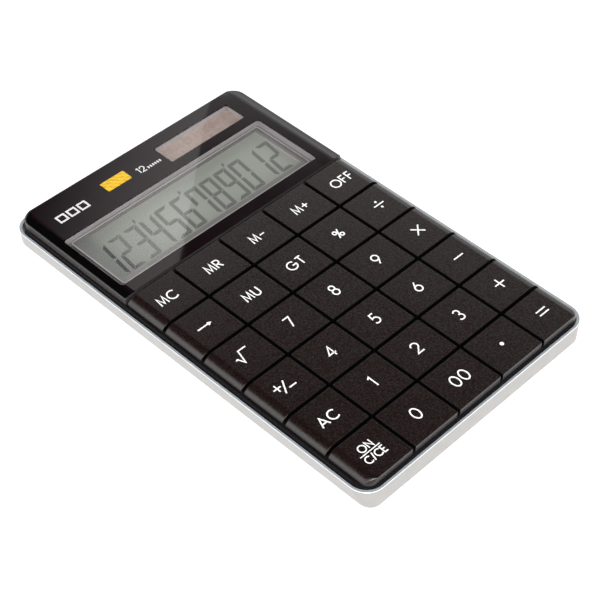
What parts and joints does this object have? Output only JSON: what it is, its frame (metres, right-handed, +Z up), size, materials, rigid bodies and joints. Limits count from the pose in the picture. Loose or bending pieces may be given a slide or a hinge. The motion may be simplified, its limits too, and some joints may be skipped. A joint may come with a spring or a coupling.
{
  "type": "pocket calculator",
  "caption": "Slim pocket calculator: silver tray case, tiled black keys that press down, clear-covered display panel with a solar cell, and a sliding battery door underneath.",
  "frame": {"origin": "centre of the footprint on the table, at the bottom of the rubber feet", "axes": "+X to the user's right, +Y from the front key row towards the display, +Z up out of the keys"},
  "size_m": [0.1036, 0.16, 0.0131],
  "materials": {
    "silver_case": "fine satin silver paint",
    "black_frame": "satin",
    "clear_cover": "glossy clear acrylic",
    "black_film": "glossy print",
    "bezel_grey": "satin",
    "polariser": "satin film",
    "lcd_glass": "clear glass",
    "reflector": "matt film",
    "connector_rubber": "matt",
    "solar_cell": "glossy glass over dark film",
    "lead_red": "satin sleeve",
    "lead_black": "satin sleeve",
    "circuit_board": "solder mask",
    "epoxy_black": "satin resin",
    "capacitor_sleeve": "glossy sleeve",
    "chip_resistor": "satin",
    "silicone_mat": "matt silicone",
    "carbon_pill": "matt carbon rubber",
    "screw_steel": "zinc plated",
    "contact_metal": "nickel plated",
    "cell_steel": "bright steel",
    "yellow_label": "satin vinyl",
    "foot_rubber": "matt",
    "key_plastic": "fine spark-eroded texture"
  },
  "bodies": {
    "case": {"rear_case": "silver_case", "key_frame": "black_frame", "display_cover": "clear_cover", "display_mask": "black_film", "display_bezel": "bezel_grey", "lcd_front_polariser": "polariser", "lcd_front_glass": "lcd_glass", "lcd_rear_glass": "lcd_glass", "lcd_reflector": "reflector", "zebra_connector": "connector_rubber", "solar_cell": "solar_cell", "solar_lead_positive": "lead_red", "solar_lead_negative": "lead_black", "main_board": "circuit_board", "processor": "epoxy_black", "capacitor": "capacitor_sleeve", "resistors": "chip_resistor", "dome_mat": "silicone_mat", "contact_pills": "carbon_pill", "board_screws": "screw_steel", "case_screws": "screw_steel", "battery_contact_positive": "contact_metal", "battery_contact_negative": "contact_metal", "button_cell": "cell_steel", "feature_label": "yellow_label", "foot_front_left": "foot_rubber", "foot_front_right": "foot_rubber", "foot_rear_left": "foot_rubber", "foot_rear_right": "foot_rubber"},
    "battery_door": {"battery_door": "silver_case"},
    "key_memory_clear": {"key_memory_clear": "key_plastic"},
    "key_memory_recall": {"key_memory_recall": "key_plastic"},
    "key_memory_minus": {"key_memory_minus": "key_plastic"},
    "key_memory_plus": {"key_memory_plus": "key_plastic"},
    "key_off": {"key_off": "key_plastic"},
    "key_backspace": {"key_backspace": "key_plastic"},
    "key_markup": {"key_markup": "key_plastic"},
    "key_grand_total": {"key_grand_total": "key_plastic"},
    "key_percent": {"key_percent": "key_plastic"},
    "key_divide": {"key_divide": "key_plastic"},
    "key_square_root": {"key_square_root": "key_plastic"},
    "key_7": {"key_7": "key_plastic"},
    "key_8": {"key_8": "key_plastic"},
    "key_9": {"key_9": "key_plastic"},
    "key_multiply": {"key_multiply": "key_plastic"},
    "key_sign": {"key_sign": "key_plastic"},
    "key_4": {"key_4": "key_plastic"},
    "key_5": {"key_5": "key_plastic"},
    "key_6": {"key_6": "key_plastic"},
    "key_minus": {"key_minus": "key_plastic"},
    "key_all_clear": {"key_all_clear": "key_plastic"},
    "key_1": {"key_1": "key_plastic"},
    "key_2": {"key_2": "key_plastic"},
    "key_3": {"key_3": "key_plastic"},
    "key_plus": {"key_plus": "key_plastic"},
    "key_on_clear": {"key_on_clear": "key_plastic"},
    "key_0": {"key_0": "key_plastic"},
    "key_00": {"key_00": "key_plastic"},
    "key_point": {"key_point": "key_plastic"},
    "key_equals": {"key_equals": "key_plastic"}
  },
  "joints": [
    {"name": "battery_door_slide", "type": "slide", "parent": "case", "child": "battery_door", "axis": [0, -1, 0], "range_m": [0, 0.005]},
    {"name": "key_memory_clear_press", "type": "slide", "parent": "case", "child": "key_memory_clear", "axis": [0, 0, -1], "range_m": [0, 0.0012], "stiffness_N_per_m": 500, "springref_m": -0.0004, "deforming": ["dome_mat", "contact_pills"]},
    {"name": "key_memory_recall_press", "type": "slide", "parent": "case", "child": "key_memory_recall", "axis": [0, 0, -1], "range_m": [0, 0.0012], "stiffness_N_per_m": 500, "springref_m": -0.0004, "deforming": ["dome_mat", "contact_pills"]},
    {"name": "key_memory_minus_press", "type": "slide", "parent": "case", "child": "key_memory_minus", "axis": [0, 0, -1], "range_m": [0, 0.0012], "stiffness_N_per_m": 500, "springref_m": -0.0004, "deforming": ["dome_mat", "contact_pills"]},
    {"name": "key_memory_plus_press", "type": "slide", "parent": "case", "child": "key_memory_plus", "axis": [0, 0, -1], "range_m": [0, 0.0012], "stiffness_N_per_m": 500, "springref_m": -0.0004, "deforming": ["dome_mat", "contact_pills"]},
    {"name": "key_off_press", "type": "slide", "parent": "case", "child": "key_off", "axis": [0, 0, -1], "range_m": [0, 0.0012], "stiffness_N_per_m": 500, "springref_m": -0.0004, "deforming": ["dome_mat", "contact_pills"]},
    {"name": "key_backspace_press", "type": "slide", "parent": "case", "child": "key_backspace", "axis": [0, 0, -1], "range_m": [0, 0.0012], "stiffness_N_per_m": 500, "springref_m": -0.0004, "deforming": ["dome_mat", "contact_pills"]},
    {"name": "key_markup_press", "type": "slide", "parent": "case", "child": "key_markup", "axis": [0, 0, -1], "range_m": [0, 0.0012], "stiffness_N_per_m": 500, "springref_m": -0.0004, "deforming": ["dome_mat", "contact_pills"]},
    {"name": "key_grand_total_press", "type": "slide", "parent": "case", "child": "key_grand_total", "axis": [0, 0, -1], "range_m": [0, 0.0012], "stiffness_N_per_m": 500, "springref_m": -0.0004, "deforming": ["dome_mat", "contact_pills"]},
    {"name": "key_percent_press", "type": "slide", "parent": "case", "child": "key_percent", "axis": [0, 0, -1], "range_m": [0, 0.0012], "stiffness_N_per_m": 500, "springref_m": -0.0004, "deforming": ["dome_mat", "contact_pills"]},
    {"name": "key_divide_press", "type": "slide", "parent": "case", "child": "key_divide", "axis": [0, 0, -1], "range_m": [0, 0.0012], "stiffness_N_per_m": 500, "springref_m": -0.0004, "deforming": ["dome_mat", "contact_pills"]},
    {"name": "key_square_root_press", "type": "slide", "parent": "case", "child": "key_square_root", "axis": [0, 0, -1], "range_m": [0, 0.0012], "stiffness_N_per_m": 500, "springref_m": -0.0004, "deforming": ["dome_mat", "contact_pills"]},
    {"name": "key_7_press", "type": "slide", "parent": "case", "child": "key_7", "axis": [0, 0, -1], "range_m": [0, 0.0012], "stiffness_N_per_m": 500, "springref_m": -0.0004, "deforming": ["dome_mat", "contact_pills"]},
    {"name": "key_8_press", "type": "slide", "parent": "case", "child": "key_8", "axis": [0, 0, -1], "range_m": [0, 0.0012], "stiffness_N_per_m": 500, "springref_m": -0.0004, "deforming": ["dome_mat", "contact_pills"]},
    {"name": "key_9_press", "type": "slide", "parent": "case", "child": "key_9", "axis": [0, 0, -1], "range_m": [0, 0.0012], "stiffness_N_per_m": 500, "springref_m": -0.0004, "deforming": ["dome_mat", "contact_pills"]},
    {"name": "key_multiply_press", "type": "slide", "parent": "case", "child": "key_multiply", "axis": [0, 0, -1], "range_m": [0, 0.0012], "stiffness_N_per_m": 500, "springref_m": -0.0004, "deforming": ["dome_mat", "contact_pills"]},
    {"name": "key_sign_press", "type": "slide", "parent": "case", "child": "key_sign", "axis": [0, 0, -1], "range_m": [0, 0.0012], "stiffness_N_per_m": 500, "springref_m": -0.0004, "deforming": ["dome_mat", "contact_pills"]},
    {"name": "key_4_press", "type": "slide", "parent": "case", "child": "key_4", "axis": [0, 0, -1], "range_m": [0, 0.0012], "stiffness_N_per_m": 500, "springref_m": -0.0004, "deforming": ["dome_mat", "contact_pills"]},
    {"name": "key_5_press", "type": "slide", "parent": "case", "child": "key_5", "axis": [0, 0, -1], "range_m": [0, 0.0012], "stiffness_N_per_m": 500, "springref_m": -0.0004, "deforming": ["dome_mat", "contact_pills"]},
    {"name": "key_6_press", "type": "slide", "parent": "case", "child": "key_6", "axis": [0, 0, -1], "range_m": [0, 0.0012], "stiffness_N_per_m": 500, "springref_m": -0.0004, "deforming": ["dome_mat", "contact_pills"]},
    {"name": "key_minus_press", "type": "slide", "parent": "case", "child": "key_minus", "axis": [0, 0, -1], "range_m": [0, 0.0012], "stiffness_N_per_m": 500, "springref_m": -0.0004, "deforming": ["dome_mat", "contact_pills"]},
    {"name": "key_all_clear_press", "type": "slide", "parent": "case", "child": "key_all_clear", "axis": [0, 0, -1], "range_m": [0, 0.0012], "stiffness_N_per_m": 500, "springref_m": -0.0004, "deforming": ["dome_mat", "contact_pills"]},
    {"name": "key_1_press", "type": "slide", "parent": "case", "child": "key_1", "axis": [0, 0, -1], "range_m": [0, 0.0012], "stiffness_N_per_m": 500, "springref_m": -0.0004, "deforming": ["dome_mat", "contact_pills"]},
    {"name": "key_2_press", "type": "slide", "parent": "case", "child": "key_2", "axis": [0, 0, -1], "range_m": [0, 0.0012], "stiffness_N_per_m": 500, "springref_m": -0.0004, "deforming": ["dome_mat", "contact_pills"]},
    {"name": "key_3_press", "type": "slide", "parent": "case", "child": "key_3", "axis": [0, 0, -1], "range_m": [0, 0.0012], "stiffness_N_per_m": 500, "springref_m": -0.0004, "deforming": ["dome_mat", "contact_pills"]},
    {"name": "key_plus_press", "type": "slide", "parent": "case", "child": "key_plus", "axis": [0, 0, -1], "range_m": [0, 0.0012], "stiffness_N_per_m": 500, "springref_m": -0.0004, "deforming": ["dome_mat", "contact_pills"]},
    {"name": "key_on_clear_press", "type": "slide", "parent": "case", "child": "key_on_clear", "axis": [0, 0, -1], "range_m": [0, 0.0012], "stiffness_N_per_m": 500, "springref_m": -0.0004, "deforming": ["dome_mat", "contact_pills"]},
    {"name": "key_0_press", "type": "slide", "parent": "case", "child": "key_0", "axis": [0, 0, -1], "range_m": [0, 0.0012], "stiffness_N_per_m": 500, "springref_m": -0.0004, "deforming": ["dome_mat", "contact_pills"]},
    {"name": "key_00_press", "type": "slide", "parent": "case", "child": "key_00", "axis": [0, 0, -1], "range_m": [0, 0.0012], "stiffness_N_per_m": 500, "springref_m": -0.0004, "deforming": ["dome_mat", "contact_pills"]},
    {"name": "key_point_press", "type": "slide", "parent": "case", "child": "key_point", "axis": [0, 0, -1], "range_m": [0, 0.0012], "stiffness_N_per_m": 500, "springref_m": -0.0004, "deforming": ["dome_mat", "contact_pills"]},
    {"name": "key_equals_press", "type": "slide", "parent": "case", "child": "key_equals", "axis": [0, 0, -1], "range_m": [0, 0.0012], "stiffness_N_per_m": 500, "springref_m": -0.0004, "deforming": ["dome_mat", "contact_pills"]}
  ]
}
